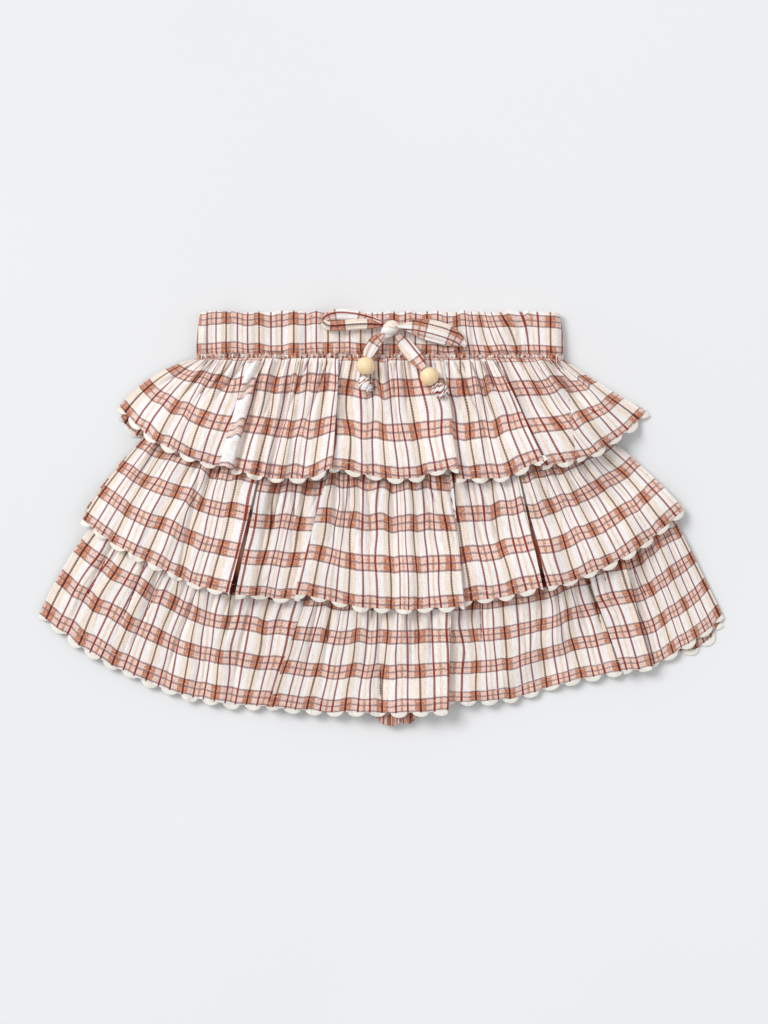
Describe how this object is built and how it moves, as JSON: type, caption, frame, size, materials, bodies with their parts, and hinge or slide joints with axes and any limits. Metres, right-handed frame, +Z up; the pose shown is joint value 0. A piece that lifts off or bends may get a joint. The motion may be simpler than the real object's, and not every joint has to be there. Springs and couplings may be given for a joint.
{
  "type": "tiered ruffle skirt",
  "caption": "Toddler's plaid cotton skirt with ruffle tiers edged in cream rick-rack, an elasticated waist and a beaded drawstring bow, laid flat face up.",
  "frame": {"origin": "middle of the garment's outline on the table it lies on", "axes": "+X to the viewer's right across the skirt, +Y from the hem up to the waist, +Z up from the table towards the viewer"},
  "size_m": [0.3718, 0.2255, 0.0224],
  "materials": {
    "plaid_cotton": "soft yarn-dyed plaid cotton, matt",
    "rickrack": "matt woven cotton braid",
    "bead_wood": "pale lacquered wood, satin"
  },
  "bodies": {
    "root": {"waistband_front": "plaid_cotton", "waistband_back": "plaid_cotton", "yoke_front": "plaid_cotton", "yoke_back": "plaid_cotton", "bloomers_front": "plaid_cotton", "bloomers_back": "plaid_cotton", "tier_1_front": "plaid_cotton", "tier_1_back": "plaid_cotton", "tier_2_front": "plaid_cotton", "tier_2_back": "plaid_cotton", "tier_3_front": "plaid_cotton", "tier_3_back": "plaid_cotton", "bow_loop_left": "plaid_cotton", "bow_loop_left_return": "plaid_cotton", "bow_loop_right": "plaid_cotton", "bow_knot": "plaid_cotton", "tie_end_left": "plaid_cotton", "tie_end_right": "plaid_cotton", "end_knot_left": "plaid_cotton", "end_knot_right": "plaid_cotton", "tier_1_front_trim": "rickrack", "tier_1_back_trim": "rickrack", "tier_2_front_trim": "rickrack", "tier_2_back_trim": "rickrack", "tier_3_front_trim": "rickrack", "tier_3_back_trim": "rickrack", "bead_left": "bead_wood", "bead_right": "bead_wood"}
  },
  "joints": []
}
